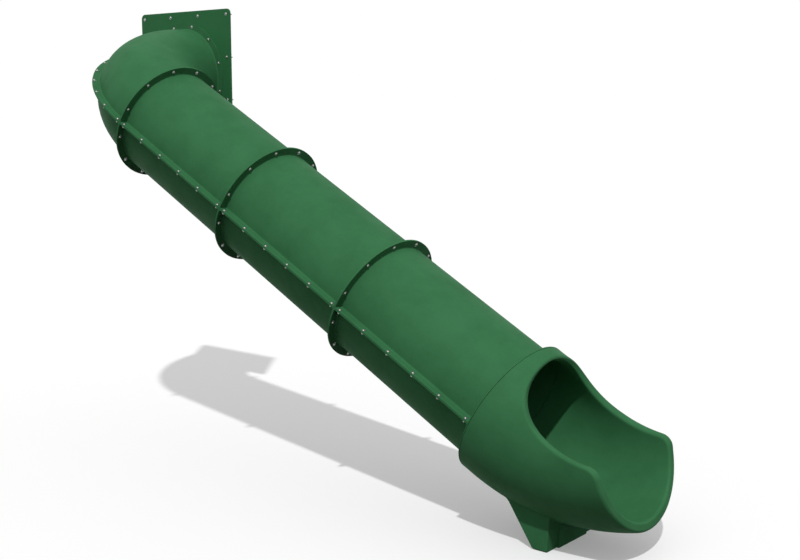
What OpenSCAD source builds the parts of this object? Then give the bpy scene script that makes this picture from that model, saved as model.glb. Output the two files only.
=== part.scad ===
// Enclosed tube slide: entry plate, quarter-turn elbow, three straight sections and a moulded exit.
// Origin: centre of the entry opening, on the deck side of the entry plate.
// +X runs down the slide in plan, +Y points into the deck and +Z is up. Lengths are in millimetres.

/* [Tube] */
// Inside diameter of the tube
tube_bore = 762; // [720:1:800]
// Wall thickness of the moulded half shells
shell_wall = 6.4; // [5:0.1:8]
// Slope of the tube below the horizontal, in degrees
slope = 28.45; // [26:0.05:31]
// Length of one straight section
straight_len = 1148; // [1050:1:1250]
// Centreline radius of the entry elbow
elbow_radius = 685.4; // [660:0.1:740]

/* [Flanges] */
// Height of every flange above the outside of the tube
flange_h = 52; // [48:0.5:60]
// Thickness of one flange
flange_t = 6.4; // [5:0.1:9]
// Distance from the outside of the tube to the bolt circle of a ring joint
ring_bolt_offset = 28; // [24:0.5:32]
// Bolts around one ring joint
ring_bolts = 12; // [8:4:16]
// Distance from the outside of the tube to the bolt line of a side flange
side_bolt_offset = 37; // [30:0.5:38]
// Bolts along one side of one straight section
side_bolts = 6; // [4:1:8]
// Distance from the end of a straight section to its first side bolt
side_bolt_end = 37; // [30:1:50]
// Bolts along the outer side of the elbow
elbow_outer_bolts = 9; // [6:1:11]
// Angle from the end of the elbow to the first outer bolt
elbow_outer_end = 2.2; // [2:0.1:4]
// Bolts along the inner side of the elbow
elbow_inner_bolts = 4; // [3:1:5]
// Angle from the end of the elbow to the first inner bolt
elbow_inner_end = 12.9; // [9:0.1:16]

/* [Entry plate] */
// Width and height of the entry plate
plate_side = 1055; // [1050:1:1120]
// Thickness of the entry plate
plate_t = 12.7; // [9:0.1:19]
// Radius of the plate's corners
plate_corner = 38; // [20:1:50]
// Distance from the plate's edge to its row of deck bolts
deck_bolt_inset = 41; // [28:0.5:44]
// Deck bolts along each side of the plate, both corners included
deck_bolt_count = 4; // [3:1:5]
// Length of the deck bolts that stands out behind the plate
deck_bolt_reach = 44; // [40:1:90]

/* [Exit] */
// Straight length of the exit before its bend
hood_len = 40; // [35:1:60]
// Centreline radius of the exit bend
exit_radius = 1031; // [980:1:1080]
// Angle that the exit bend sweeps
exit_sweep = 44.1; // [42:0.1:46]
// Depth of the hollow double wall, from its inside to its outside
exit_depth = 57.5; // [44:0.5:58]
// Wall thickness of the moulded exit
exit_wall = 6.4; // [5:0.1:8]
// Horizontal distance from the last ring joint to the front of the hood
hood_front = 275; // [240:1:290]
// Height above the last joint's centre where the hood's front edge starts to curve forward
hood_edge_h = 266; // [240:1:290]
// Length of the curve's upper handle, which sets how tightly the edge turns forward
rim_upper_pull = 223; // [190:1:240]
// Length of the curve's lower handle
rim_lower_pull = 207; // [180:1:230]
// Horizontal distance from the last ring joint to the front end of the curved edge
rim_front = 728; // [700:1:735]
// Depth of the side rims below the last joint's centre at that front end
rim_drop = 108; // [100:1:130]
// Fall of the side rims along their front stretch, in degrees
rim_fall = 6.8; // [4:0.1:9]
// Radius of the lip's upper corners, seen from the side
lip_corner = 85; // [60:1:90]

/* [Foot] */
// Height of the chute's lowest point above the ground
run_out_h = 183; // [150:1:230]
// Width of the foot across the slide
foot_w = 520; // [440:1:540]
// Horizontal distance from the last ring joint to the foot's front at the ground
foot_front = 412; // [390:1:440]
// Depth of the foot at the ground, from front to back
foot_depth = 93; // [80:1:120]
// Lean of the foot's back from the vertical, in degrees
foot_back_lean = 34.2; // [30:0.1:38]
// Lean of the foot's front from the vertical, in degrees
foot_front_lean = 4.8; // [0:0.1:8]
// Radius of the foot's rear lower edge
foot_edge = 25; // [10:1:30]
// Width of the raised pad on the foot's front
foot_pad_w = 300; // [240:1:340]
// Height of that pad above the foot's front
foot_pad_t = 15; // [10:1:24]
// Diameter of the moulding vent under the foot
vent_d = 12; // [8:1:16]

/* [Fasteners] */
// Diameter of every bolt
bolt_d = 10; // [8:0.5:12]
// Clearance of a bolt in its hole, all round
bolt_clear = 0.5; // [0.3:0.1:0.8]
// Depth of a thread, drawn as a plain cylinder, under the plain shank, all round
thread_relief = 0.2; // [0.18:0.01:0.3]
// Clearance of a bolt's thread in a nut or an insert, all round
thread_clear = 0.2; // [0.1:0.05:0.3]
// Diameter of a bolt's domed head
head_d = 17.5; // [16:0.5:20]
// Height of a bolt's domed head
head_h = 5.5; // [4:0.1:7]
// Width across flats of the key socket in a head
key_flats = 6; // [5:0.5:7]
// Depth of the key socket
key_depth = 2.8; // [2:0.1:3]
// Outside diameter of a washer
washer_d = 24; // [21:0.5:26]
// Thickness of a washer
washer_t = 2; // [1.5:0.1:2.5]
// Width across flats of a nut
nut_flats = 15; // [14:0.5:18]
// Height of a nut with its flange
nut_h = 10; // [8:0.5:12]
// Diameter of a nut's flange
nut_flange_d = 21; // [20:0.5:22]
// Thickness of a nut's flange
nut_flange_t = 2; // [1.5:0.1:3]
// Length of thread that stands out of a nut
thread_out = 3; // [2:0.5:5]
// Outside diameter of a threaded insert
insert_d = 15; // [14:0.5:18]
// Length of a threaded insert
insert_len = 24; // [22:1:28]
// Clearance of an insert in its moulded pocket, all round
insert_clear = 0.1; // [0.05:0.05:0.2]
// Length of a bolt inside its insert
insert_grip = 20; // [15:1:21]
// Thickness of the moulded boss around an insert
boss_wall = 9; // [6:0.5:10]
// Depth of that boss behind its insert
boss_back = 8; // [6:1:12]

/* [Hidden] */
$fn = 96;
tube_r = tube_bore / 2;
tube_or = tube_r + shell_wall;
flange_r = tube_or + flange_h;
ring_bolt_r = tube_or + ring_bolt_offset;
side_bolt_r = tube_or + side_bolt_offset;
side_pitch = (straight_len - 2 * side_bolt_end) / (side_bolts - 1);
tube_y = -(plate_t + elbow_radius);
bolt_hole_r = bolt_d / 2 + bolt_clear;
thread_hole_r = bolt_d / 2 + thread_clear;
deck_bolt_span = plate_side - 2 * deck_bolt_inset;
deck_bolt_pitch = deck_bolt_span / (deck_bolt_count - 1);
exit_or = tube_r + exit_depth;
// Lowest point of the exit's centreline, measured from the last joint's centre
axis_low_z = -hood_len * sin(slope) - exit_radius * (1 - cos(slope));
ground_z = axis_low_z - tube_r - run_out_h;
// End of the exit's centreline, along and square to the slope, then in plan and height
end_along = hood_len + exit_radius * sin(exit_sweep);
end_square = exit_radius * (1 - cos(exit_sweep));
end_x = end_along * cos(slope) + end_square * sin(slope);
end_z = end_square * cos(slope) - end_along * sin(slope);
lip_rise = exit_sweep - slope;
// Reach of the cutting outlines past every edge of the exit
beyond = 2 * tube_bore;
// Angle that the exit's bend is drawn past the lip, before the lip is cut
lip_past = 2;
overlap = shell_wall / 2;
curve_steps = 18;
corner_steps = 8;

moulded_green = [0.07, 0.36, 0.19];
zinc_grey = [0.78, 0.79, 0.78];
brass = [0.72, 0.60, 0.32];

// Tilts a shape so that its X runs down the slope, its Y stays level and its Z is square to the tube
module tilted() {
    rotate([0, slope, 0]) children();
}

// Start of a straight section, counted from 0; number 3 is the start of the exit
module at_section(number) {
    tilted()
        translate([elbow_radius + number * straight_len, tube_y, 0])
            children();
}

// Places around a ring joint, with Z pointing down the tube
module ring_places() {
    step = 360 / ring_bolts;
    for (place = [0 : ring_bolts - 1])
        rotate([step / 2 + step * place, 0, 0])
            translate([0, ring_bolt_r, 0])
                rotate([0, 90, 0])
                    children();
}

// Places around the entry opening, from the plate's deck side, with Z pointing out of the plate's front
module entry_ring_places() {
    step = 360 / ring_bolts;
    tilted()
        for (place = [0 : ring_bolts - 1])
            rotate([0, -step / 2 - step * place, 0])
                translate([ring_bolt_r, 0, 0])
                    rotate([90, 0, 0])
                        children();
}

// Places along both side flanges of a straight section, on the parting plane
module side_places() {
    for (side = [-1, 1])
        for (place = [0 : side_bolts - 1])
            translate([side_bolt_end + side_pitch * place, side * side_bolt_r, 0])
                children();
}

// Places along one side flange of the elbow, on the parting plane
module elbow_places(bolt_radius, bolts, end_angle) {
    step = (90 - 2 * end_angle) / (bolts - 1);
    tilted()
        translate([elbow_radius, -plate_t, 0])
            for (place = [0 : bolts - 1])
                rotate([0, 0, 180 + end_angle + step * place])
                    translate([bolt_radius, 0, 0])
                        children();
}

module elbow_outer_places() {
    elbow_places(elbow_radius + side_bolt_r, elbow_outer_bolts, elbow_outer_end) children();
}

module elbow_inner_places() {
    elbow_places(elbow_radius - side_bolt_r, elbow_inner_bolts, elbow_inner_end) children();
}

// Places of the deck bolts, from the plate's deck side, with Z pointing out of the plate's front
module deck_places() {
    last = deck_bolt_count - 1;
    for (column = [0 : last])
        for (row = [0 : last])
            if (column == 0 || column == last || row == 0 || row == last)
                translate([
                    column * deck_bolt_pitch - deck_bolt_span / 2,
                    0,
                    row * deck_bolt_pitch - deck_bolt_span / 2
                ])
                    rotate([90, 0, 0])
                        children();
}

// Drilling for one bolt, through every flange at its place
module bolt_hole() {
    reach = 2 * (plate_t + flange_t);
    cylinder(r = bolt_hole_r, h = 2 * reach, center = true);
}

// Domed bolt: its head sits on Z = 0, its shank hangs below and its thread carries on from there
module bolt(shank, thread = 0) {
    dome_r = (pow(head_d / 2, 2) + pow(head_h, 2)) / (2 * head_h);
    difference() {
        union() {
            intersection() {
                translate([0, 0, head_h - dome_r]) sphere(r = dome_r);
                cylinder(d = head_d, h = head_h);
            }
            translate([0, 0, -shank]) cylinder(d = bolt_d, h = shank + head_h / 4);
            if (thread > 0)
                translate([0, 0, -shank - thread])
                    cylinder(r = bolt_d / 2 - thread_relief, h = thread + 1);
        }
        translate([0, 0, head_h - key_depth])
            cylinder(d = key_flats / cos(30), h = key_depth + 1, $fn = 6);
    }
}

// Washer standing on Z = 0
module washer() {
    difference() {
        cylinder(d = washer_d, h = washer_t);
        translate([0, 0, -1]) cylinder(r = bolt_hole_r, h = washer_t + 2);
    }
}

// Flanged nut hanging below Z = 0
module nut() {
    difference() {
        union() {
            translate([0, 0, -nut_flange_t]) cylinder(d = nut_flange_d, h = nut_flange_t);
            translate([0, 0, -nut_h]) cylinder(d = nut_flats / cos(30), h = nut_h, $fn = 6);
        }
        translate([0, 0, -nut_h - 1]) cylinder(r = thread_hole_r, h = nut_h + 2);
    }
}

// Fasteners of a joint whose front face is at Z = front and whose back face is at Z = back
module joint_bolt(front, back) {
    color(zinc_grey)
        translate([0, 0, front + washer_t])
            bolt(washer_t + front - back + nut_h + thread_out);
}

module joint_washer(front) {
    color(zinc_grey) translate([0, 0, front]) washer();
}

module joint_nut(back) {
    color(zinc_grey) translate([0, 0, back]) nut();
}

// Upper half of a ring between two radii, in the plane of the outline
module half_ring(inner_r, outer_r) {
    intersection() {
        difference() {
            circle(r = outer_r);
            circle(r = inner_r);
        }
        translate([-outer_r, 0]) square([2 * outer_r, outer_r]);
    }
}

// Cross-section of an upper half shell: half the tube wall and its two side flanges
module half_shell_outline() {
    half_ring(tube_r, tube_or);
    for (side = [0, 1])
        mirror([side, 0])
            translate([tube_or - overlap, 0])
                square([flange_h + overlap, flange_t]);
}

// Half ring flange standing on X = 0 and running towards +X
module half_ring_flange() {
    rotate([90, 0, 90])
        linear_extrude(height = flange_t)
            half_ring(tube_or - overlap, flange_r);
}

// Upper half shell of a straight section, in that section's own frame
module straight_half() {
    difference() {
        union() {
            rotate([90, 0, 90])
                linear_extrude(height = straight_len)
                    half_shell_outline();
            half_ring_flange();
            translate([straight_len - flange_t, 0, 0]) half_ring_flange();
        }
        side_places() bolt_hole();
        ring_places() bolt_hole();
        translate([straight_len, 0, 0]) ring_places() bolt_hole();
    }
}

module straight_upper(number) {
    color(moulded_green) at_section(number) straight_half();
}

module straight_lower(number) {
    color(moulded_green) at_section(number) mirror([0, 0, 1]) straight_half();
}

// Upper half shell of the elbow, tilted but not drilled; half is 0 for the upper and 1 for the lower
module elbow_half(half) {
    color(moulded_green)
        difference() {
            tilted()
                mirror([0, 0, half]) {
                    translate([elbow_radius, -plate_t, 0])
                        rotate([0, 0, 180])
                            rotate_extrude(angle = 90)
                                translate([elbow_radius, 0])
                                    half_shell_outline();
                    translate([0, -plate_t, 0])
                        rotate([90, 0, 0])
                            linear_extrude(height = flange_t)
                                half_ring(tube_or - overlap, flange_r);
                    translate([elbow_radius - flange_t, tube_y, 0]) half_ring_flange();
                }
            entry_ring_places() bolt_hole();
            at_section(0) ring_places() bolt_hole();
            elbow_outer_places() bolt_hole();
            elbow_inner_places() bolt_hole();
        }
}

// Outline of the entry plate: a square with round corners
module plate_outline() {
    flat = plate_side - 2 * plate_corner;
    square([flat, plate_side], center = true);
    square([plate_side, flat], center = true);
    for (x_side = [-1, 1])
        for (y_side = [-1, 1])
            translate([x_side * flat / 2, y_side * flat / 2])
                circle(r = plate_corner);
}

module entry_plate() {
    color(moulded_green)
        difference() {
            rotate([90, 0, 0])
                linear_extrude(height = plate_t)
                    difference() {
                        plate_outline();
                        circle(r = tube_r);
                    }
            entry_ring_places() bolt_hole();
            deck_places() bolt_hole();
        }
}

// Point at a fraction along the hood's curved edge, a cubic curve between two straight stretches
function edge_handles() = [
    [hood_front, hood_edge_h],
    [hood_front, hood_edge_h - rim_upper_pull],
    [rim_front - rim_lower_pull * cos(rim_fall), rim_lower_pull * sin(rim_fall) - rim_drop],
    [rim_front, -rim_drop]
];

function edge_point(t, p) =
    pow(1 - t, 3) * p[0] + 3 * pow(1 - t, 2) * t * p[1] + 3 * (1 - t) * t * t * p[2] + pow(t, 3) * p[3];

function edge_slope(t, p) =
    pow(1 - t, 2) * (p[1] - p[0]) + 2 * (1 - t) * t * (p[2] - p[1]) + t * t * (p[3] - p[2]);

// Direction square to the edge, pointing into the exit's wall
function into_wall(d) = [d[1], -d[0]] / norm(d);

// Curved edge of the hood, moved into the wall by inset
function edge_curve(inset) = [
    for (step = [0 : curve_steps])
        let (t = step / curve_steps)
            edge_point(t, edge_handles()) + inset * into_wall(edge_slope(t, edge_handles()))
];

// Where the falling side rim meets the plane of the lip, both drawn from the side
function lip_meeting() =
    let (
        gap = [end_x - rim_front, end_z + rim_drop],
        along = (gap[0] * cos(lip_rise) + gap[1] * sin(lip_rise)) / cos(lip_rise + rim_fall)
    )
        [rim_front, -rim_drop] + along * [cos(rim_fall), -sin(rim_fall)];

// Rounded upper corner of the lip, moved into the wall by inset
function lip_arc(inset) =
    let (
        turn = 90 - lip_rise - rim_fall,
        start = lip_meeting() - lip_corner * tan(turn / 2) * [cos(rim_fall), -sin(rim_fall)],
        centre = start - lip_corner * [sin(rim_fall), cos(rim_fall)]
    )
        [
            for (step = [0 : corner_steps])
                let (angle = 90 - rim_fall - turn * step / corner_steps)
                    centre + (lip_corner - inset) * [cos(angle), sin(angle)]
        ];

// Side outline of all that lies under the rims and behind the lip, moved into the wall by inset.
// It is drawn from the last joint's centre, with X in plan down the slide and Y up.
module exit_side(inset) {
    lip_down = [sin(lip_rise), -cos(lip_rise)];
    arc = lip_arc(inset);
    polygon(concat(
        [[-beyond, -beyond], [-beyond, beyond], [hood_front - inset, beyond]],
        edge_curve(inset),
        arc,
        [arc[corner_steps] + beyond * lip_down]
    ));
}

// The same outline as a block across the whole slide
module exit_side_block(inset) {
    rotate([90, 0, 0])
        linear_extrude(height = beyond, center = true)
            exit_side(inset);
}

// Round body that follows the exit's centreline, from a distance start along it.
// Its straight length tapers from mouth_r to body_r and its bend runs past the lip.
module exit_body(mouth_r, body_r, start) {
    tilted() {
        translate([start, 0, 0])
            rotate([0, 90, 0])
                cylinder(r1 = mouth_r, r2 = body_r, h = hood_len - start);
        translate([hood_len, 0, exit_radius])
            rotate([90, 0, 0])
                rotate([0, 0, -90])
                    rotate_extrude(angle = exit_sweep + lip_past)
                        translate([exit_radius, 0])
                            circle(r = body_r);
    }
}

// Side outline of the foot, from the ground up into the chute, moved inwards by inset
module foot_outline(inset) {
    height = axis_low_z - tube_r / 2 - ground_z;
    front_shift = foot_front_lean > 0 ? height * tan(foot_front_lean) : 0;
    back_shift = height * tan(foot_back_lean);
    front_in = inset / cos(foot_front_lean);
    back_in = inset / cos(foot_back_lean);
    back_x = foot_front - foot_depth;
    round_r = foot_edge - inset;
    // The rear lower edge is an arc between the ground and the leaning back
    turn = 90 - foot_back_lean;
    reach = foot_edge * tan(turn / 2);
    centre = [back_x + reach, foot_edge];
    translate([0, ground_z])
        polygon(concat(
            [
                [foot_front - front_in + inset * tan(foot_front_lean), inset],
                [foot_front - front_in + front_shift, height]
            ],
            [[back_x + back_in - back_shift, height]],
            [
                for (step = [0 : corner_steps])
                    let (angle = 180 + foot_back_lean + turn * step / corner_steps)
                        centre + round_r * [cos(angle), sin(angle)]
            ]
        ));
}

// Foot as a block across the slide, with its raised front pad
module foot_block(inset) {
    for (part = [[foot_w, 0], [foot_pad_w, foot_pad_t]])
        translate([part[1], 0, 0])
            rotate([90, 0, 0])
                linear_extrude(height = part[0] - 2 * inset, center = true)
                    foot_outline(inset);
}

module exit_section() {
    color(moulded_green)
        at_last_joint()
            difference() {
                intersection() {
                    union() {
                        exit_body(flange_r, exit_or, 0);
                        foot_block(0);
                    }
                    exit_side_block(0);
                }
                exit_body(tube_r, tube_r, -1);
                exit_cavity();
                tilted() ring_places() translate([0, 0, -1]) insert_pocket(1);
                translate([foot_front - foot_depth / 2, 0, ground_z])
                    cylinder(d = vent_d, h = 4 * exit_wall, center = true);
            }
}

// Centre of the last ring joint, with the row's own upright axes
module at_last_joint() {
    reach = elbow_radius + 3 * straight_len;
    translate([reach * cos(slope), tube_y, -reach * sin(slope)]) children();
}

// Hollow between the exit's two skins and inside its foot, less the bosses around the inserts
module exit_cavity() {
    difference() {
        intersection() {
            union() {
                exit_body(flange_r - exit_wall, exit_or - exit_wall, exit_wall);
                foot_block(exit_wall);
            }
            exit_side_block(exit_wall);
        }
        exit_body(tube_r + exit_wall, tube_r + exit_wall, 0);
        tilted()
            ring_places()
                cylinder(r = insert_d / 2 + boss_wall, h = insert_len + boss_back);
    }
}

// Blind pocket of an insert; the mouth can be cut past the face by extra
module insert_pocket(extra) {
    cylinder(r = insert_d / 2 + insert_clear, h = insert_len + extra);
}

module threaded_insert() {
    color(brass)
        difference() {
            cylinder(d = insert_d, h = insert_len);
            translate([0, 0, -1]) cylinder(r = thread_hole_r, h = insert_len + 2);
        }
}

// Exit joint seen from up the slope: places whose Z points back up the tube
module exit_joint_places() {
    at_section(3) ring_places() rotate([180, 0, 0]) children();
}

module entry_ring(kind) {
    entry_ring_places() fastener(kind, plate_t + flange_t, 0);
}

module ring_joint(number, kind) {
    at_section(number) ring_places() fastener(kind, flange_t, -flange_t);
}

module straight_seam(number, kind) {
    at_section(number) side_places() fastener(kind, flange_t, -flange_t);
}

module elbow_outer_seam(kind) {
    elbow_outer_places() fastener(kind, flange_t, -flange_t);
}

module elbow_inner_seam(kind) {
    elbow_inner_places() fastener(kind, flange_t, -flange_t);
}

// One fastener of a joint between the planes Z = front and Z = back
module fastener(kind, front, back) {
    if (kind == "bolt") joint_bolt(front, back);
    if (kind == "washer") joint_washer(front);
    if (kind == "nut") joint_nut(back);
}

module deck_bolts() {
    color(zinc_grey)
        deck_places()
            translate([0, 0, plate_t + washer_t])
                bolt(washer_t + plate_t, deck_bolt_reach);
}

module deck_washers() {
    deck_places() joint_washer(plate_t);
}

module exit_joint_bolts() {
    color(zinc_grey)
        exit_joint_places()
            translate([0, 0, flange_t + washer_t])
                bolt(washer_t + flange_t + insert_grip);
}

module exit_joint_washers() {
    exit_joint_places() joint_washer(flange_t);
}

module exit_joint_inserts() {
    at_section(3) ring_places() threaded_insert();
}

entry_plate();
elbow_half(0);  // elbow_upper
elbow_half(1);  // elbow_lower
straight_upper(0);  // straight_1_upper
straight_lower(0);  // straight_1_lower
straight_upper(1);  // straight_2_upper
straight_lower(1);  // straight_2_lower
straight_upper(2);  // straight_3_upper
straight_lower(2);  // straight_3_lower
exit_section();
deck_bolts();
deck_washers();
entry_ring("bolt");  // entry_ring_bolts
entry_ring("washer");  // entry_ring_washers
entry_ring("nut");  // entry_ring_nuts
elbow_outer_seam("bolt");  // elbow_outer_seam_bolts
elbow_outer_seam("washer");  // elbow_outer_seam_washers
elbow_outer_seam("nut");  // elbow_outer_seam_nuts
elbow_inner_seam("bolt");  // elbow_inner_seam_bolts
elbow_inner_seam("washer");  // elbow_inner_seam_washers
elbow_inner_seam("nut");  // elbow_inner_seam_nuts
ring_joint(0, "bolt");  // ring_joint_1_bolts
ring_joint(0, "washer");  // ring_joint_1_washers
ring_joint(0, "nut");  // ring_joint_1_nuts
ring_joint(1, "bolt");  // ring_joint_2_bolts
ring_joint(1, "washer");  // ring_joint_2_washers
ring_joint(1, "nut");  // ring_joint_2_nuts
ring_joint(2, "bolt");  // ring_joint_3_bolts
ring_joint(2, "washer");  // ring_joint_3_washers
ring_joint(2, "nut");  // ring_joint_3_nuts
straight_seam(0, "bolt");  // straight_1_seam_bolts
straight_seam(0, "washer");  // straight_1_seam_washers
straight_seam(0, "nut");  // straight_1_seam_nuts
straight_seam(1, "bolt");  // straight_2_seam_bolts
straight_seam(1, "washer");  // straight_2_seam_washers
straight_seam(1, "nut");  // straight_2_seam_nuts
straight_seam(2, "bolt");  // straight_3_seam_bolts
straight_seam(2, "washer");  // straight_3_seam_washers
straight_seam(2, "nut");  // straight_3_seam_nuts
exit_joint_bolts();
exit_joint_washers();
exit_joint_inserts();
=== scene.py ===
import math
import bmesh
import bpy
from mathutils import Matrix, Vector


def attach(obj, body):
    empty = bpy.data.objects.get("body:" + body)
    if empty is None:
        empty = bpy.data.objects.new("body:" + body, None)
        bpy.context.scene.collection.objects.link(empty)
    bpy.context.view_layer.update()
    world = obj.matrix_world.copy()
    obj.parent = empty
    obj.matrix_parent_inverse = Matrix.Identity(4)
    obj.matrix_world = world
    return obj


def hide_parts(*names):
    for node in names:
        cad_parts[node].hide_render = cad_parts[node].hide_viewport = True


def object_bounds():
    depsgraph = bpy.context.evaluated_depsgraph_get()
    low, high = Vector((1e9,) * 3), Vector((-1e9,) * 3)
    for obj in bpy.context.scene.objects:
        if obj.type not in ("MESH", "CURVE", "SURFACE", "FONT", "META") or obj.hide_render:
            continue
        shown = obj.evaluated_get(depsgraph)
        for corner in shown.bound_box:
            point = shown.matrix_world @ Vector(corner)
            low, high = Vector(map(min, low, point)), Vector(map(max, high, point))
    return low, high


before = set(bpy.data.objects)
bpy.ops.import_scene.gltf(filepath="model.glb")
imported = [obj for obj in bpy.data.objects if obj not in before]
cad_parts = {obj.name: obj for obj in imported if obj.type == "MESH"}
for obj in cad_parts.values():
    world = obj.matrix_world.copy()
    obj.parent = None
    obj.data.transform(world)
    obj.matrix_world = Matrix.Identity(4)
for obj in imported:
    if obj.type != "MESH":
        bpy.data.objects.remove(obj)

cad_low, cad_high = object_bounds()
bpy.ops.object.select_all(action="DESELECT")

# ---- Entry plate ----
# A square sheet of green plastic, 12.7 mm thick, with the round entry opening sawn out of it.
# Its corners and edges are routed round and it is drilled for 12 deck bolts and 12 elbow bolts.

slope = math.radians(28.45)
tilt = Matrix.Rotation(slope, 4, "Y")
plate_side = 1.055
plate_thick = 0.0127
plate_corner = 0.038
plate_edge = 0.0016
tube_inner = 0.381
bolt_hole = 0.0055
bit_length = 0.1
hairline = 1e-5
deck_rows = [-0.4865, -0.16217, 0.16217, 0.4865]
ring_bolt_circle = 0.4154
bolt_ring = []
for number in range(12):
    turn = math.radians(15 + 30 * number)
    bolt_ring.append((ring_bolt_circle * math.cos(turn), ring_bolt_circle * math.sin(turn)))


def take(piece):
    """Makes a piece the only one selected, so that operators act on it."""
    bpy.ops.object.select_all(action="DESELECT")
    piece.select_set(True)
    bpy.context.view_layer.objects.active = piece


def pick(kind, is_wanted):
    """Selects the vertices or edges of the piece in edit mode whose middle is wanted."""
    bpy.ops.mesh.select_mode(type=kind)
    bpy.ops.mesh.select_all(action="DESELECT")
    drawn = bmesh.from_edit_mesh(bpy.context.object.data)
    for part in {"VERT": drawn.verts, "EDGE": drawn.edges}[kind]:
        corners = [part] if kind == "VERT" else part.verts
        if is_wanted(sum((corner.co for corner in corners), Vector()) / len(corners)):
            part.select_set(True)
    bmesh.update_edit_mesh(bpy.context.object.data)


def finish_with(piece, modifier, **settings):
    """Adds a modifier to a piece and applies it."""
    take(piece)
    bpy.ops.object.modifier_add(type=modifier)
    for name, value in settings.items():
        setattr(piece.modifiers[-1], name, value)
    bpy.ops.object.modifier_apply(modifier=piece.modifiers[-1].name)


def cut_or_join(piece, operation, tool):
    """Cuts a tool's shape out of a piece, or joins it on, and puts the tool away."""
    finish_with(piece, "BOOLEAN", operation=operation, object=tool, solver="EXACT")
    bpy.data.objects.remove(tool)


def drill(piece, places, radius=bolt_hole, sides=24):
    """Cuts round holes through a piece; each place is a centre and the hole's direction."""
    bits = []
    for centre, direction in places:
        turned = Vector(direction).to_track_quat("Z", "Y").to_euler()
        bpy.ops.mesh.primitive_cylinder_add(
            vertices=sides, radius=radius, depth=bit_length, location=centre, rotation=turned)
        bits.append(bpy.context.object)
    bpy.ops.object.select_all(action="DESELECT")
    for bit in bits:
        bit.select_set(True)
    bpy.ops.object.join()
    cut_or_join(piece, "DIFFERENCE", bpy.context.object)


def soften(piece, width, segments=3, angle=40):
    """Rounds the sharp edges of a piece, as its mould or router leaves them."""
    finish_with(piece, "BEVEL", width=width, segments=segments, limit_method="ANGLE",
                angle_limit=math.radians(angle), use_clamp_overlap=True)


def smooth(piece, angle=32):
    """Closes the cuts' hairlines, then shades curved faces smooth and keeps flat ones flat."""
    take(piece)
    bpy.ops.object.mode_set(mode="EDIT")
    bpy.ops.mesh.select_all(action="SELECT")
    bpy.ops.mesh.remove_doubles(threshold=hairline)
    bpy.ops.mesh.dissolve_degenerate(threshold=hairline)
    bpy.ops.object.mode_set(mode="OBJECT")
    bpy.ops.object.shade_smooth_by_angle(angle=math.radians(angle))
    finish_with(piece, "WEIGHTED_NORMAL", keep_sharp=True)


bpy.ops.mesh.primitive_cube_add(
    size=1, location=(0, -plate_thick / 2, 0), scale=(plate_side, plate_thick, plate_side))
plate = bpy.context.object
plate.name = "entry_plate_sheet"
bpy.ops.object.transform_apply(location=True, rotation=True, scale=True)
bpy.ops.object.mode_set(mode="EDIT")
pick("EDGE", lambda at: min(abs(at.x), abs(at.z)) > plate_side / 3)
bpy.ops.mesh.bevel(offset=plate_corner, segments=10)
bpy.ops.object.mode_set(mode="OBJECT")
drill(plate, [((0, 0, 0), (0, 1, 0))], radius=tube_inner, sides=160)
soften(plate, plate_edge, segments=2)
elbow_drilling = [(tilt @ Vector((level, 0, rise)), (0, 1, 0)) for level, rise in bolt_ring]
deck_drilling = [((x, 0, z), (0, 1, 0)) for x in deck_rows for z in deck_rows
                 if deck_rows[-1] in (abs(x), abs(z))]
drill(plate, elbow_drilling + deck_drilling)
smooth(plate)

green_light = (0.042, 0.172, 0.070, 1)
green_deep = (0.033, 0.141, 0.0555, 1)
green_scuffed = (0.075, 0.20, 0.105, 1)
sheet_light = (0.036, 0.168, 0.064, 1)
sheet_deep = (0.029, 0.145, 0.053, 1)
skin_shine = 0.05
skin_relief = 0.0006


def node(tree, kind, **inputs):
    """Adds a node and sets its inputs by name, or by number where names repeat."""
    made = tree.nodes.new(kind)
    for name, value in inputs.items():
        key = int(name[1:]) if name[0] == "i" and name[1:].isdigit() else name.replace("_", " ")
        if isinstance(value, bpy.types.NodeSocket):
            tree.links.new(value, made.inputs[key])
        else:
            made.inputs[key].default_value = value
    return made


def reckon(tree, operation, *values, clamp=False):
    """Adds a Math node and gives its result."""
    numbered = {f"i{number}": value for number, value in enumerate(values)}
    made = node(tree, "ShaderNodeMath", **numbered)
    made.operation, made.use_clamp = operation, clamp
    return made.outputs["Value"]


def mix_colours(tree, amount, first, second):
    """Mixes two colours and gives the result."""
    made = node(tree, "ShaderNodeMix", i0=amount, i6=first, i7=second)
    made.data_type = "RGBA"
    return made.outputs[2]


def group_tree(name, sockets_in, sockets_out):
    """Starts a shader node group with named inputs and outputs."""
    tree = bpy.data.node_groups.new(name, "ShaderNodeTree")
    for title, kind, start in sockets_in:
        socket = tree.interface.new_socket(title, in_out="INPUT", socket_type=kind)
        socket.default_value = start
    for title, kind in sockets_out:
        tree.interface.new_socket(title, in_out="OUTPUT", socket_type=kind)
    return tree, tree.nodes.new("NodeGroupInput").outputs, tree.nodes.new("NodeGroupOutput").inputs


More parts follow.
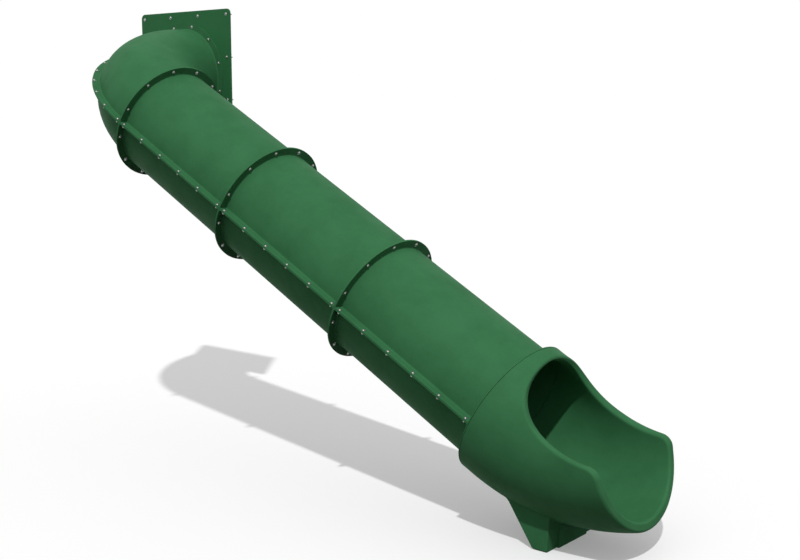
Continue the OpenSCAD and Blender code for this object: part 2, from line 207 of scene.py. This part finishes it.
# Polyethylene skin: cloudy pigment, a fine grain from the mould and a few dull scuffs.
skin, given, out = group_tree(
    "polyethylene_skin",
    [("Pigment", "NodeSocketColor", green_light), ("Shade", "NodeSocketColor", green_deep),
     ("Cloudiness", "NodeSocketFloat", 0.5), ("Scuffing", "NodeSocketFloat", 0.3),
     ("Dullness", "NodeSocketFloat", 0.42)],
    [("Colour", "NodeSocketColor"), ("Roughness", "NodeSocketFloat"),
     ("Height", "NodeSocketFloat")])
place = skin.nodes.new("ShaderNodeTexCoord").outputs["Object"]
clouds = node(skin, "ShaderNodeTexNoise", Vector=place, Scale=4.5, Detail=5.0, Roughness=0.62)
speckle = node(skin, "ShaderNodeTexNoise", Vector=place, Scale=60.0, Detail=3.0, Roughness=0.6)
grain = node(skin, "ShaderNodeTexNoise", Vector=place, Scale=420.0, Detail=2.0, Roughness=0.55)
swell = node(skin, "ShaderNodeTexNoise", Vector=place, Scale=9.0, Detail=2.0, Roughness=0.5)
scratch_place = node(skin, "ShaderNodeMapping", Vector=place, Scale=(7.0, 90.0, 40.0))
scratches = node(skin, "ShaderNodeTexNoise", Vector=scratch_place.outputs["Vector"], Scale=2.0,
                 Detail=4.0, Roughness=0.7)
cloud_mask = node(skin, "ShaderNodeMapRange", Value=clouds.outputs["Fac"], From_Min=0.36,
                  From_Max=0.66, To_Min=0.0, To_Max=1.0)
speck_mask = node(skin, "ShaderNodeMapRange", Value=speckle.outputs["Fac"], From_Min=0.3,
                  From_Max=0.7, To_Min=-0.16, To_Max=0.16)
scuff_mask = node(skin, "ShaderNodeMapRange", Value=scratches.outputs["Fac"], From_Min=0.62,
                  From_Max=0.78, To_Min=0.0, To_Max=1.0)
cloudy = reckon(skin, "ADD", cloud_mask.outputs["Result"], speck_mask.outputs["Result"])
shading = reckon(skin, "MULTIPLY", cloudy, given["Cloudiness"], clamp=True)
scuffs = reckon(skin, "MULTIPLY", scuff_mask.outputs["Result"], given["Scuffing"], clamp=True)
pigment = mix_colours(skin, shading, given["Pigment"], given["Shade"])
worn = mix_colours(skin, reckon(skin, "MULTIPLY", scuffs, 0.35), pigment, green_scuffed)
dull = reckon(skin, "MULTIPLY_ADD", scuffs, 0.25, given["Dullness"])
mottled = reckon(skin, "MULTIPLY_ADD", cloud_mask.outputs["Result"], 0.07, dull)
relief = reckon(skin, "MULTIPLY_ADD", swell.outputs["Fac"], 6.0, grain.outputs["Fac"])
for result, socket in ((worn, "Colour"), (mottled, "Roughness"), (relief, "Height")):
    skin.links.new(result, out[socket])


def plastic(name, pigment, shade, cloudiness, scuffing, dullness, bump):
    """A green plastic with its own pigment, made from the polyethylene skin."""
    made = bpy.data.materials.new(name)
    made.use_nodes = True
    tree = made.node_tree
    shader = tree.nodes["Principled BSDF"]
    surface = tree.nodes.new("ShaderNodeGroup")
    surface.node_tree = skin
    for socket, value in zip(surface.inputs, (pigment, shade, cloudiness, scuffing, dullness)):
        socket.default_value = value
    bumps = node(tree, "ShaderNodeBump", Height=surface.outputs["Height"], Strength=bump,
                 Distance=skin_relief)
    tree.links.new(surface.outputs["Colour"], shader.inputs["Base Color"])
    tree.links.new(surface.outputs["Roughness"], shader.inputs["Roughness"])
    tree.links.new(bumps.outputs["Normal"], shader.inputs["Normal"])
    shader.inputs["Specular IOR Level"].default_value = skin_shine
    return made


sheet_green = plastic("sheet_green", sheet_light, sheet_deep,
                      cloudiness=0.4, scuffing=0.25, dullness=0.48, bump=0.10)


def finished(piece, material, slot, *stands_for):
    """Gives a piece its material and its place in the frame."""
    piece.data.materials.clear()
    piece.data.materials.append(material)
    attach(piece, "root")
    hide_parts(*stands_for)


finished(plate, sheet_green, "sheet_plastic", "entry_plate")

# ---- Entry elbow ----
# Two rotationally moulded polyethylene half shells that turn the tube a quarter turn off the deck.
# Each has a flange along both sides of its parting plane and a half ring flange at each end.

flange_rim = 0.4394
shell_thick = 0.0064
shell_edge = 0.002
root_fillet = 0.009
root_bend = 1.0
quarter_turn = math.radians(90)
elbow_turn = 0.6854
tube_y = -plate_thick - elbow_turn
seam_offset = 0.4244
outer_seam_bolts, outer_seam_end = 9, 2.2
inner_seam_bolts, inner_seam_end = 4, 12.9
moulded_green = plastic("moulded_green", green_light, green_deep,
                        cloudiness=0.75, scuffing=0.5, dullness=0.60, bump=0.16)


def half_profile(centre, turned):
    """Draws the parting line of a half shell: a half circle with a strip at either end."""
    bpy.ops.mesh.primitive_circle_add(vertices=144, radius=tube_inner, location=(0, 0, 0))
    profile = bpy.context.object
    bpy.ops.object.mode_set(mode="EDIT")
    bpy.ops.mesh.select_all(action="SELECT")
    bpy.ops.mesh.bisect(plane_co=(0, 0, 0), plane_no=(0, 1, 0), clear_inner=True)
    for side in (-1, 1):
        pick("VERT", lambda at: at.y < hairline and at.x * side > 0)
        bpy.ops.mesh.extrude_region_move(
            TRANSFORM_OT_translate={"value": (side * (flange_rim - tube_inner), 0, 0)})
    bpy.ops.object.mode_set(mode="OBJECT")
    profile.matrix_world = Matrix.Translation(centre) @ turned
    bpy.ops.object.transform_apply(location=True, rotation=True, scale=True)
    return profile


def raise_end_flange(centre, along):
    """Pulls the end arc of a half shell out to the edge of its ring flange."""
    pick("EDGE", lambda at: abs((at - centre).dot(along)) < hairline
         and abs((at - centre).length - tube_inner) < 0.001 and at.z > hairline)
    grow = flange_rim / tube_inner
    bpy.ops.mesh.extrude_region_move()
    bpy.ops.transform.resize(value=(grow, grow, grow), center_override=centre)


def face_outwards():
    """Merges the doubles of the piece in edit mode and turns its faces outwards."""
    bpy.ops.mesh.select_all(action="SELECT")
    bpy.ops.mesh.remove_doubles(threshold=hairline)
    bpy.ops.mesh.normals_make_consistent(inside=False)


def make_half_shell(sheet, name, side, drilling):
    """Thickens a half shell outwards from its mould face, rounds its edges, drills and tilts it."""
    shell = sheet.copy()
    shell.data = sheet.data.copy()
    shell.name = name
    bpy.context.collection.objects.link(shell)
    take(shell)
    bpy.ops.object.mode_set(mode="EDIT")
    bpy.ops.mesh.select_all(action="SELECT")
    if side < 0:
        bpy.ops.transform.resize(value=(1, 1, -1), center_override=(0, 0, 0))
    face_outwards()
    bpy.ops.object.mode_set(mode="OBJECT")
    parting = min(shell.data.polygons, key=lambda face: abs(face.center.z))
    away = 1 if parting.normal.z * side > 0 else -1
    finish_with(shell, "SOLIDIFY", thickness=shell_thick, offset=away, use_even_offset=True)
    # The mould leaves a fillet at the root of each flange, where it turns off the tube.
    bpy.ops.object.mode_set(mode="EDIT")
    bpy.ops.mesh.select_mode(type="EDGE")
    bpy.ops.mesh.select_all(action="DESELECT")
    for edge in bmesh.from_edit_mesh(shell.data).edges:
        edge.select_set(not edge.is_convex and edge.calc_face_angle(0) > root_bend)
    bmesh.update_edit_mesh(shell.data)
    bpy.ops.mesh.bevel(offset=root_fillet, segments=4)
    bpy.ops.object.mode_set(mode="OBJECT")
    soften(shell, shell_edge)
    drill(shell, drilling)
    shell.matrix_world = tilt
    bpy.ops.object.transform_apply(location=True, rotation=True, scale=True)
    smooth(shell)
    return shell


elbow_sheet = half_profile(Vector((0, -plate_thick, 0)), Matrix.Rotation(quarter_turn, 4, "X"))
elbow_middle = Vector((elbow_turn, -plate_thick, 0))
bpy.ops.object.mode_set(mode="EDIT")
bpy.ops.mesh.select_all(action="SELECT")
bpy.ops.mesh.spin(steps=24, angle=quarter_turn, center=elbow_middle, axis=(0, 0, -1))
bpy.ops.mesh.select_all(action="SELECT")
bpy.ops.mesh.remove_doubles(threshold=hairline)
raise_end_flange(Vector((0, -plate_thick, 0)), Vector((0, 1, 0)))
raise_end_flange(Vector((elbow_turn, tube_y, 0)), Vector((1, 0, 0)))
bpy.ops.object.mode_set(mode="OBJECT")

ring_to_plate = [(Vector((level, -plate_thick, rise)), (0, 1, 0)) for level, rise in bolt_ring]
ring_to_tube = [
    (Vector((elbow_turn, tube_y + level, rise)), (1, 0, 0)) for level, rise in bolt_ring]
seam_drilling = []
for count, end, reach in ((outer_seam_bolts, outer_seam_end, elbow_turn + seam_offset),
                          (inner_seam_bolts, inner_seam_end, elbow_turn - seam_offset)):
    for number in range(count):
        turn = math.radians(180 + end + (90 - 2 * end) / (count - 1) * number)
        spot = elbow_middle + Vector((reach * math.cos(turn), reach * math.sin(turn), 0))
        seam_drilling.append((spot, (0, 0, 1)))
for half, side in (("upper", 1), ("lower", -1)):
    own_rings = [hole for hole in ring_to_plate + ring_to_tube if hole[0].z * side > 0]
    shell = make_half_shell(elbow_sheet, f"elbow_{half}_shell", side, own_rings + seam_drilling)
    finished(shell, moulded_green, "moulded_plastic", f"elbow_{half}")
bpy.data.objects.remove(elbow_sheet)

# ---- Straight sections ----
# Three alike sections of the same polyethylene tube, each bolted up from an upper and a lower half.
# The halves share one mould, so the upper and lower are the same piece turned over.

section_length = 1.148
seam_bolts, seam_end = 6, 0.037
straight_sheet = half_profile(
    Vector((elbow_turn, tube_y, 0)),
    Matrix.Rotation(quarter_turn, 4, "Z") @ Matrix.Rotation(quarter_turn, 4, "X"))
bpy.ops.object.mode_set(mode="EDIT")
bpy.ops.mesh.select_all(action="SELECT")
bpy.ops.mesh.extrude_region_move(TRANSFORM_OT_translate={"value": (section_length, 0, 0)})
for start in (elbow_turn, elbow_turn + section_length):
    raise_end_flange(Vector((start, tube_y, 0)), Vector((1, 0, 0)))
bpy.ops.object.mode_set(mode="OBJECT")
section_drilling = []
for number in range(seam_bolts):
    along = elbow_turn + seam_end + number * (section_length - 2 * seam_end) / (seam_bolts - 1)
    for side in (-1, 1):
        section_drilling.append((Vector((along, tube_y + side * seam_offset, 0)), (0, 0, 1)))
for half, side in (("upper", 1), ("lower", -1)):
    near_ring = [hole for hole in ring_to_tube if hole[0].z * side > 0]
    far_ring = [(spot + Vector((section_length, 0, 0)), way) for spot, way in near_ring]
    first = make_half_shell(
        straight_sheet, f"straight_1_{half}_shell", side, section_drilling + near_ring + far_ring)
    down_one = tilt @ Vector((section_length, 0, 0))
    for number in (2, 3):
        shell = first.copy()
        shell.data = first.data.copy()
        shell.data.transform(Matrix.Translation(down_one * (number - 1)))
        shell.name = f"straight_{number}_{half}_shell"
        bpy.context.collection.objects.link(shell)
        finished(shell, moulded_green, "moulded_plastic", f"straight_{number}_{half}")
    finished(first, moulded_green, "moulded_plastic", f"straight_1_{half}")
bpy.data.objects.remove(straight_sheet)

# ---- Exit ----
# One hollow polyethylene moulding: hood, open chute with a rolled rim, and the foot it stands on.
# It is drawn from the last ring joint, where it is bolted on: s runs along its centreline and v
# turns up from its lowest line.

last_joint = tilt @ Vector((elbow_turn + 3 * section_length, tube_y, 0))
hood_run = 0.040
bend_radius = 1.031
bend_sweep = math.radians(44.1)
path_end = hood_run + bend_radius * bend_sweep
skin_outer = 0.4385
joint_gap = 0.0025
hood_edge = [Vector((0.275, 0.266)), Vector((0.275, 0.043)),
             Vector((0.52246, -0.08349)), Vector((0.728, -0.108))]
rim_fall = math.radians(6.8)
rim_round = 0.016
rim_flare = 0.028
rim_edge = 0.003
lip_rise = bend_sweep - slope
lip_corner = 0.085
hood_steps, side_steps, corner_steps, lip_steps = 16, 32, 10, 24
skin_rows = 30
rim_steps = 6


def across(x, z):
    """Turns a point of the side view into its place along the centreline and its height off it."""
    along = x * math.cos(slope) - z * math.sin(slope)
    square = x * math.sin(slope) + z * math.cos(slope)
    if along < hood_run:
        return along, square
    turn = math.atan2(along - hood_run, bend_radius - square)
    return (hood_run + bend_radius * turn,
            bend_radius - math.hypot(along - hood_run, bend_radius - square))


def plumb(x, level, low, high):
    """The height over x, from low to high in the side view, that lies at a level off the path."""
    for _ in range(50):
        middle = (low + high) / 2
        if across(x, middle)[1] < level:
            low = middle
        else:
            high = middle
    return low


def on_exit(s, v, radius, side=1):
    """A point of the exit, at a distance along it, an angle from its lowest line and a radius."""
    turn = max(0.0, s - hood_run) / bend_radius
    along = min(s, hood_run) + bend_radius * math.sin(turn)
    square = bend_radius * (1 - math.cos(turn))
    out_of = -radius * math.cos(v)
    spot = Vector((along - out_of * math.sin(turn), side * radius * math.sin(v),
                   square + out_of * math.cos(turn)))
    return last_joint + tilt @ spot


def flared(radius, v):
    """The inner skin opens out a little under the hood's rim, most of all at its top."""
    return radius + rim_flare * max(0.0, -math.cos(v)) ** 3 if radius == tube_inner else radius


def rim_line(radius, inset):
    """The rim as (s, v) on a skin of that radius, from the hood's top to the lip's lowest point."""
    line = []

    def angle_at(x, z):
        s, height = across(x, z)
        v = math.acos(max(-1.0, min(1.0, -height / radius)))
        for _ in range(20):
            v = math.acos(max(-1.0, min(1.0, -height / flared(radius, v))))
        return s, v

    front = hood_edge[0].x - inset
    low_angle = angle_at(front, hood_edge[0].y)[1]
    for step in range(hood_steps):
        v = math.pi + (low_angle - math.pi) * step / hood_steps
        height = plumb(front, -flared(radius, v) * math.cos(v), 0.0, 1.0)
        line.append((across(front, height)[0], v))
    a, b, c, d = hood_edge
    for step in range(side_steps + 1):
        t = step / side_steps
        spot = (1 - t) ** 3 * a + 3 * (1 - t) ** 2 * t * b + 3 * (1 - t) * t * t * c + t ** 3 * d
        way = (1 - t) ** 2 * (b - a) + 2 * (1 - t) * t * (c - b) + t * t * (d - c)
        spot = spot + inset * Vector((way.y, -way.x)).normalized()
        line.append(angle_at(spot.x, spot.y))
    end_along = hood_run + bend_radius * math.sin(bend_sweep)
    end_square = bend_radius * (1 - math.cos(bend_sweep))
    end = Vector((end_along * math.cos(slope) + end_square * math.sin(slope),
                  end_square * math.cos(slope) - end_along * math.sin(slope)))
    gap = end - d
    run = (gap.x * math.cos(lip_rise) + gap.y * math.sin(lip_rise)) / math.cos(lip_rise + rim_fall)
    falling = Vector((math.cos(rim_fall), -math.sin(rim_fall)))
    turn = math.pi / 2 - lip_rise - rim_fall
    start = d + (run - lip_corner * math.tan(turn / 2)) * falling
    centre = start - lip_corner * Vector((math.sin(rim_fall), math.cos(rim_fall)))
    for step in range(corner_steps + 1):
        angle = math.pi / 2 - rim_fall - turn * step / corner_steps
        spot = centre + (lip_corner - inset) * Vector((math.cos(angle), math.sin(angle)))
        line.append(angle_at(spot.x, spot.y))
    last_angle = line[-1][1]
    for step in range(1, lip_steps + 1):
        line.append((path_end - inset, last_angle * (1 - step / lip_steps)))
    return line


def set_back(radius, hood_inset, lip_inset):
    """The rim's line, set back by one amount along the hood and by another round the lip."""
    line = []
    lip_first = hood_steps + side_steps + corner_steps + 2
    pairs = zip(rim_line(radius, hood_inset), rim_line(radius, lip_inset))
    for number, (hood, lip) in enumerate(pairs):
        share = min(1.0, max(0.0, (number - lip_first + lip_steps) / lip_steps))
        line.append((hood[0] + (lip[0] - hood[0]) * share, hood[1] + (lip[1] - hood[1]) * share))
    return line


def rim_of_skin(radius, hood_inset, lip_inset):
    """A skin's own corner of the rim, and the line behind it where the rim's round begins."""
    return (set_back(radius, hood_inset, lip_inset),
            set_back(radius, rim_round + hood_inset, rim_round + lip_inset))


# The rim's face leans inwards: its outer corner stands forward of its inner one along the hood.
outer_corner, outer_rim = rim_of_skin(skin_outer, -0.013, 0.005)
inner_corner, inner_rim = rim_of_skin(tube_inner, 0.001, 0.003)
lengths = [0.0]
for here, there in zip(outer_corner, outer_corner[1:]):
    lengths.append(lengths[-1] + math.hypot(there[0] - here[0], skin_outer * (there[1] - here[1])))


def exit_column(number, side):
    """One closed line round the exit's wall: down the outer skin, over the rim and back inside."""
    even = math.pi * (1 - lengths[number] / lengths[-1])
    skins = []
    for rim, inner in ((outer_rim, False), (inner_rim, True)):
        s_rim, v_rim = rim[number]
        v_start = 0.5 * even + 0.5 * v_rim
        spots = []
        for row in range(skin_rows + 1):
            share = row / skin_rows
            s = joint_gap + (s_rim - joint_gap) * share
            taper = (flange_rim - skin_outer) * max(0.0, 1 - s / hood_run) ** 2
            opening = (flared(tube_inner, v_rim) - tube_inner) * share ** 4
            radius = tube_inner + opening if inner else skin_outer + taper
            spots.append(on_exit(s, v_start + (v_rim - v_start) * share, radius, side))
        skins.append(spots)
    outer, inner = skins
    far = on_exit(*outer_corner[number], skin_outer, side)
    near = on_exit(*inner_corner[number], flared(tube_inner, inner_corner[number][1]), side)
    rolled = []
    for start, corner, other in ((outer[-1], far, near), (inner[-1], near, far)):
        top = corner + (other - corner).normalized() * rim_round
        middle = start + top - corner
        arc = []
        for step in range(1, rim_steps + 1):
            turn = math.pi / 2 * step / rim_steps
            arc.append(middle + (start - middle) * math.cos(turn) + (top - middle) * math.sin(turn))
        rolled += arc if corner == far else arc[::-1]
    return outer + rolled + inner[::-1]


def skin_through(name, rings):
    """A closed skin through rings of points, which are set one by one on the grid of a torus."""
    bpy.ops.mesh.primitive_torus_add(
        major_segments=len(rings), minor_segments=len(rings[0]), major_radius=0.6, minor_radius=0.1)
    piece = bpy.context.object
    piece.name = name
    for corner, spot in zip(piece.data.vertices, [spot for ring in rings for spot in ring]):
        corner.co = spot
    bpy.ops.object.mode_set(mode="EDIT")
    face_outwards()
    bpy.ops.object.mode_set(mode="OBJECT")
    return piece


columns = [exit_column(number, 1) for number in range(len(outer_corner))]
columns += [exit_column(number, -1) for number in range(len(outer_corner) - 2, 0, -1)]
moulding = skin_through("exit_moulding", columns)
soften(moulding, rim_edge, segments=2, angle=60)

# The foot: a block that narrows to the ground, with a narrower pad standing forward of its front.
ground = cad_low.z - last_joint.z
foot_top = ground + 0.36
foot_back, back_lean = 0.319, math.radians(34.2)
foot_front, front_lean = 0.412, math.radians(4.8)
foot_wide, foot_edge = 0.520, 0.006
pad_wide, pad_edge = 0.300, 0.005
pad_forward, pad_sunk = 0.015, 0.05
heel_round = 0.0132
heel_reach = 0.38
bore_radius = 0.400


def foot_faces(height):
    """Where the foot's back and front stand at a height, which lean apart from the ground up."""
    lift = height - ground
    return foot_back - lift * math.tan(back_lean), foot_front + lift * math.tan(front_lean)


def foot_block(width, rounding, forward=0.0, sunk=0.0):
    """A rounded block under the chute, moved forward at its front and sunk in at its back."""
    bpy.ops.mesh.primitive_cube_add(size=1, location=(0, 0, 0))
    block = bpy.context.object
    for corner in block.data.vertices:
        height = foot_top if corner.co.z > 0 else ground
        back, front = foot_faces(height)
        x = front + forward if corner.co.x > 0 else back + sunk
        corner.co = last_joint + Vector((x, corner.co.y * width, height))
    bpy.ops.object.mode_set(mode="EDIT")
    pick("EDGE", lambda at: at.z < cad_low.z + 1e-4 and at.x < last_joint.x + heel_reach)
    bpy.ops.mesh.bevel(offset=heel_round, segments=6)
    bpy.ops.object.mode_set(mode="OBJECT")
    soften(block, rounding, segments=4, angle=30)
    return block


foot = foot_block(foot_wide, foot_edge)
cut_or_join(foot, "UNION", foot_block(pad_wide, pad_edge, pad_forward, pad_sunk))

# A concave fillet runs round the foot where it meets the chute: wide in front, narrow at the sides.
fillet_side, fillet_front, fillet_back = 0.014, 0.021, 0.016
fillet_overlap = 0.0004
fillet_depth = 0.004
fillet_rise = 0.012
fillet_steps = 8
foot_half = foot_wide / 2 - foot_edge
foot_corners = ((0, -1, 180), (1, -1, 270), (1, 1, 0), (0, 1, 90))
foot_path = []
for number, (share, side, start) in enumerate(foot_corners):
    for step in range(7):
        foot_path.append((share, side * foot_half, math.radians(start + 15 * step)))
    next_share, next_side, _ = foot_corners[(number + 1) % 4]
    for step in range(1, 12):
        t = step / 12
        foot_path.append((share + (next_share - share) * t,
                          foot_half * (side + (next_side - side) * t), math.radians(start + 90)))


def under_chute(x, y):
    """The height of the chute's lowest skin over a point of the ground."""
    return plumb(x, -math.sqrt(skin_outer ** 2 - y * y), ground, ground + 0.6)


def fillet_ring(share, y, angle):
    """One section of the fillet: a concave curve from the foot's face out to the chute's skin."""
    outward = Vector((math.cos(angle), math.sin(angle), 0))
    reach = (fillet_side + fillet_front * max(0.0, outward.x) ** 2
             + fillet_back * max(0.0, -outward.x) ** 2)

    def face_at(height):
        back, front = foot_faces(height)
        x = back + foot_edge + (front - back - 2 * foot_edge) * share
        return Vector((x, y, height)) + foot_edge * outward

    height = ground + 0.2
    for _ in range(12):
        spot = face_at(height)
        height = under_chute(spot.x, spot.y)
    root = face_at(height)
    low = root + (face_at(height - 0.01) - root).normalized() * reach - outward * fillet_overlap
    far = root + outward * reach
    far.z = under_chute(far.x, far.y) + fillet_overlap
    ring = []
    for step in range(fillet_steps + 1):
        t = step / fillet_steps
        ring.append(last_joint + (1 - t) ** 2 * low + 2 * (1 - t) * t * root + t ** 2 * far)
    rise = Vector((0, 0, fillet_rise))
    ring.append(last_joint + far + rise)
    ring.append(last_joint + root - outward * fillet_depth + rise)
    ring.append(last_joint + low - outward * fillet_depth)
    return ring


cut_or_join(foot, "UNION", skin_through("foot_fillet", [fillet_ring(*spot) for spot in foot_path]))

# What would stand into the chute is cut away along its centreline, then the foot is joined on.
bpy.ops.mesh.primitive_circle_add(vertices=96, radius=bore_radius, fill_type="NGON")
bore = bpy.context.object
bore.matrix_world = Matrix.Translation(last_joint) @ tilt @ Matrix.Rotation(quarter_turn, 4, "Y")
bpy.ops.object.transform_apply(location=True, rotation=True, scale=True)
bpy.ops.object.mode_set(mode="EDIT")
bpy.ops.mesh.select_all(action="SELECT")
bpy.ops.mesh.extrude_region_move(
    TRANSFORM_OT_translate={"value": tilt @ Vector((hood_run, 0, 0))})
bpy.ops.mesh.spin(steps=40, angle=bend_sweep, axis=(0, 1, 0),
                  center=last_joint + tilt @ Vector((hood_run, 0, bend_radius)))
face_outwards()
bpy.ops.object.mode_set(mode="OBJECT")
cut_or_join(foot, "DIFFERENCE", bore)
cut_or_join(moulding, "UNION", foot)
smooth(moulding)
finished(moulding, moulded_green, "moulded_plastic", "exit_section")

# ---- Fasteners ----
# Zinc-plated button-head bolts, washers and flanged nuts close every joint of the slide, and the
# exit is bolted into brass inserts. They are the CAD's own pieces with a metal finish.

zinc_dark, zinc_pale = (0.26, 0.27, 0.26, 1), (0.44, 0.45, 0.44, 1)
brass_dark, brass_pale = (0.50, 0.33, 0.10, 1), (0.70, 0.50, 0.19, 1)


def metal(name, metallic, stops, dullness, **mottle):
    """A metal whose colour and dullness both wander between two values, in one mottling."""
    made = bpy.data.materials.new(name)
    made.use_nodes = True
    tree = made.node_tree
    shader = tree.nodes["Principled BSDF"]
    place = tree.nodes.new("ShaderNodeTexCoord").outputs["Object"]
    bloom = node(tree, "ShaderNodeTexNoise", Vector=place, **mottle).outputs["Fac"]
    tone = node(tree, "ShaderNodeValToRGB", Fac=bloom)
    for element, (position, colour) in zip(tone.color_ramp.elements, stops):
        element.position, element.color = position, colour
    rough = node(tree, "ShaderNodeMapRange", Value=bloom, From_Min=0.3, From_Max=0.7,
                 To_Min=dullness[0], To_Max=dullness[1])
    tree.links.new(tone.outputs["Color"], shader.inputs["Base Color"])
    tree.links.new(rough.outputs["Result"], shader.inputs["Roughness"])
    shader.inputs["Metallic"].default_value = metallic
    return made


plated = metal("zinc_plate", 0.85, ((0.35, zinc_dark), (0.65, zinc_pale)), (0.34, 0.52),
               Scale=240.0, Detail=3.0, Roughness=0.6)
brass = metal("insert_brass", 1.0, ((0.0, brass_dark), (1.0, brass_pale)), (0.35, 0.35),
              Scale=180.0, Detail=2.0, Roughness=0.5)
for name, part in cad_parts.items():
    if name.endswith(("_bolts", "_washers", "_nuts", "_inserts")):
        part.data.materials.clear()
        part.data.materials.append(brass if name.endswith("_inserts") else plated)

# ---- Ground ----
# A plain white studio floor at the foot's level, which keeps the slide's shadow. It looks white to
# the camera and in reflections, and throws only a little warm light back up at the slide.

floor_size = 400
paper_white = (0.78, 0.78, 0.78, 1)
paper_bounce = (0.08, 0.05, 0.045, 1)
paper_haze = 0.24


def in_view(tree):
    """1 where the camera, metal or glass sees the backdrop, and 0 where it only gives light."""
    rays = tree.nodes.new("ShaderNodeLightPath").outputs
    seen = reckon(tree, "MAXIMUM", rays["Is Camera Ray"], rays["Is Transmission Ray"])
    return reckon(tree, "MAXIMUM", seen, rays["Is Glossy Ray"])


bpy.ops.mesh.primitive_plane_add(size=floor_size, location=(2, 0, cad_low.z))
floor = bpy.context.object
floor.name = "floor"
paper = bpy.data.materials.new("studio_white")
paper.use_nodes = True
tree = paper.node_tree
shader = tree.nodes["Principled BSDF"]
seen = in_view(tree)
tree.links.new(mix_colours(tree, seen, paper_bounce, paper_white), shader.inputs["Base Color"])
tree.links.new(reckon(tree, "MULTIPLY", seen, paper_haze), shader.inputs["Emission Strength"])
shader.inputs["Emission Color"].default_value = (1, 1, 1, 1)
shader.inputs["Roughness"].default_value = 0.9
shader.inputs["Specular IOR Level"].default_value = 0.0
floor.data.materials.append(paper)

# ---- Light ----
# One sun at the angle of the photograph's shadow, and an even white sky that fills the rest. The
# sky lights the slide at half the strength that the camera and reflections see.

sun_falls = Vector((-0.4316, 0.5527, -1.0))
sky_light = 0.5
bpy.ops.object.light_add(type="SUN", location=(0, 0, 6))
sun = bpy.context.object
sun.name = "key_light"
sun.data.energy = 1.9
sun.data.angle = math.radians(1.5)
sun.rotation_mode = "QUATERNION"
sun.rotation_quaternion = sun_falls.to_track_quat("-Z", "Y")
sky = bpy.data.worlds.new("studio_sky")
sky.use_nodes = True
tree = sky.node_tree
power = node(tree, "ShaderNodeMapRange", Value=in_view(tree), From_Min=0.0, From_Max=1.0,
             To_Min=sky_light, To_Max=1.0)
backdrop = tree.nodes["Background"]
backdrop.inputs["Color"].default_value = (1, 1, 1, 1)
tree.links.new(power.outputs["Result"], backdrop.inputs["Strength"])
bpy.context.scene.world = sky

# ---- Camera ----
# The photograph's own view, worked out from the ring joints, which are circles, and the square
# plate. right, forward and up are the camera's axes in the frame.

camera_spot = (7.4389, -6.3620, -0.2199)
right = Vector((0.77213, 0.63546, -0.00051))
forward = Vector((-0.62893, 0.76407, -0.14370))
up = Vector((-0.09093, 0.11128, 0.98962))
bpy.ops.object.camera_add(location=camera_spot)
camera = bpy.context.object
camera.name = "photo_camera"
camera.data.lens = 53.59
camera.data.sensor_width = 36
camera.data.clip_end = 500
camera.rotation_mode = "QUATERNION"
camera.rotation_quaternion = Matrix((right, up, -forward)).transposed().to_quaternion()
bpy.context.scene.camera = camera
bpy.context.scene.view_settings.view_transform = "Standard"
